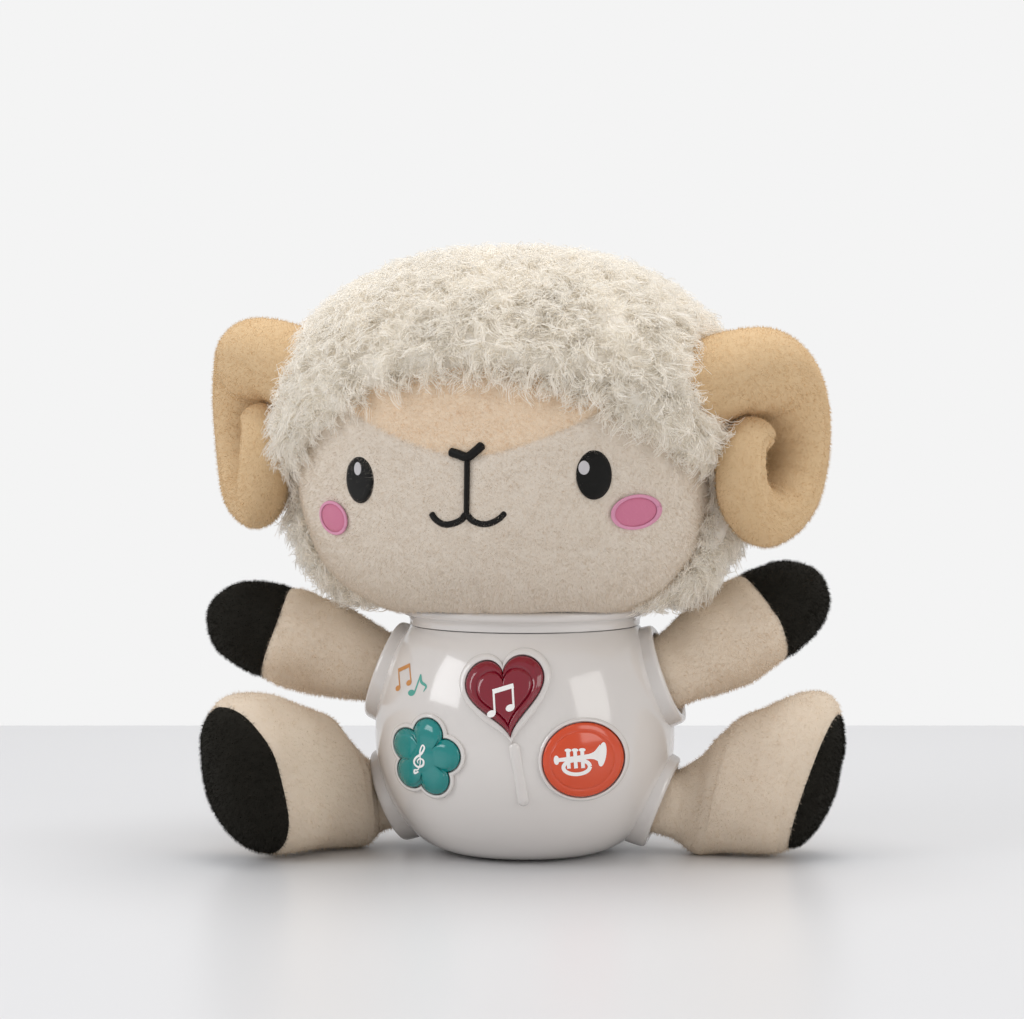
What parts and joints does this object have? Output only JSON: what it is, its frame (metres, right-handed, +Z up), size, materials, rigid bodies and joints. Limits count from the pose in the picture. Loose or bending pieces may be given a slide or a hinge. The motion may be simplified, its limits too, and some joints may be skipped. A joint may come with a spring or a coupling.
{
  "type": "plush sheep with a sound box body",
  "caption": "Stuffed sheep with curled horns, a hard round sound box body with shaped push buttons, and soft arms and legs that swing in round sockets.",
  "frame": {"origin": "centre of the sound box's flat base, where it rests", "axes": "+Z up, -Y out of the toy's face, +X towards the right of someone who faces it"},
  "size_m": [0.2353, 0.1289, 0.2155],
  "materials": {
    "shell_plastic": "glossy",
    "heart_plastic": "glossy",
    "flower_plastic": "glossy",
    "round_plastic": "glossy",
    "inner_plastic": "satin",
    "black_plastic": "satin",
    "clear_red_plastic": "clear",
    "board_laminate": "satin",
    "wire_rubber": "smooth",
    "steel": "plated",
    "speaker_paper": "paper cone",
    "battery_jacket": "printed",
    "wool_pile": "curly long pile",
    "cream_plush": "short pile",
    "tan_plush": "short pile",
    "horn_plush": "short pile",
    "black_plush": "short pile",
    "black_thread": "satin stitch",
    "pink_thread": "satin stitch",
    "stuffing": "loose fibre"
  },
  "bodies": {
    "sound_box": {"front_shell": "shell_plastic", "back_shell": "shell_plastic", "neck_ring": "shell_plastic", "battery_box": "inner_plastic", "battery_1": "battery_jacket", "battery_2": "battery_jacket", "battery_3": "battery_jacket", "battery_spring_1": "steel", "battery_spring_2": "steel", "battery_spring_3": "steel", "circuit_board": "board_laminate", "control_chip": "black_plastic", "heart_tact_switch": "black_plastic", "flower_tact_switch": "black_plastic", "round_tact_switch": "black_plastic", "heart_led": "clear_red_plastic", "speaker_frame": "steel", "speaker_cone": "speaker_paper", "speaker_magnet": "steel", "speaker_lead": "wire_rubber", "battery_lead": "wire_rubber", "power_switch_body": "black_plastic", "shell_screw_1": "steel", "shell_screw_2": "steel", "shell_screw_3": "steel", "shell_screw_4": "steel", "board_screw_1": "steel", "board_screw_2": "steel", "board_screw_3": "steel", "arm_ring_left": "inner_plastic", "arm_ring_right": "inner_plastic", "leg_ring_left": "inner_plastic", "leg_ring_right": "inner_plastic"},
    "head": {"neck_plug": "inner_plastic", "head_stuffing": "stuffing", "fleece_hood": "wool_pile", "face_panel_left": "cream_plush", "face_panel_right": "cream_plush", "forehead_panel": "tan_plush", "horn_left": "horn_plush", "horn_right": "horn_plush", "eye_left": "black_thread", "eye_right": "black_thread", "mouth_embroidery": "black_thread", "cheek_left": "pink_thread", "cheek_right": "pink_thread"},
    "left_arm": {"arm_left": "cream_plush", "mitt_left": "black_plush"},
    "right_arm": {"arm_right": "cream_plush", "mitt_right": "black_plush"},
    "left_leg": {"leg_left": "cream_plush", "sole_left": "black_plush"},
    "right_leg": {"leg_right": "cream_plush", "sole_right": "black_plush"},
    "heart_key": {"heart_button": "heart_plastic"},
    "flower_key": {"flower_button": "flower_plastic"},
    "round_key": {"round_button": "round_plastic"},
    "power_knob": {"power_switch_knob": "black_plastic"},
    "door": {"battery_door": "shell_plastic", "door_screw": "steel"}
  },
  "joints": [
    {"name": "head_turn", "type": "hinge", "parent": "sound_box", "child": "head", "pos_m": [0, 0, 0.0892], "axis": [0, 0, 1], "range_deg": [-15, 20]},
    {"name": "left_arm_swing", "type": "hinge", "parent": "sound_box", "child": "left_arm", "pos_m": [-0.0523, 0, 0.0647], "axis": [0, 0, 1], "range_deg": [-25, 25]},
    {"name": "right_arm_swing", "type": "hinge", "parent": "sound_box", "child": "right_arm", "pos_m": [0.0523, 0, 0.0647], "axis": [0, 0, 1], "range_deg": [-40, 0]},
    {"name": "left_leg_swing", "type": "hinge", "parent": "sound_box", "child": "left_leg", "pos_m": [-0.0503, 0, 0.0178], "axis": [0, 0, 1], "range_deg": [-12, 0]},
    {"name": "right_leg_swing", "type": "hinge", "parent": "sound_box", "child": "right_leg", "pos_m": [0.0503, 0, 0.0178], "axis": [0, 0, 1], "range_deg": [-15, 0]},
    {"name": "heart_press", "type": "slide", "parent": "sound_box", "child": "heart_key", "axis": [0, 1, 0], "range_m": [0, 0.0015], "stiffness_N_per_m": 600},
    {"name": "flower_press", "type": "slide", "parent": "sound_box", "child": "flower_key", "axis": [0, 1, 0], "range_m": [0, 0.0015], "stiffness_N_per_m": 600},
    {"name": "round_press", "type": "slide", "parent": "sound_box", "child": "round_key", "axis": [0, 1, 0], "range_m": [0, 0.0015], "stiffness_N_per_m": 600},
    {"name": "power_slide", "type": "slide", "parent": "sound_box", "child": "power_knob", "axis": [1, 0, 0], "range_m": [0, 0.004]},
    {"name": "door_swing", "type": "hinge", "parent": "sound_box", "child": "door", "pos_m": [0, 0.04957, 0.0202], "axis": [-1, 0, 0], "range_deg": [0, 40]}
  ]
}
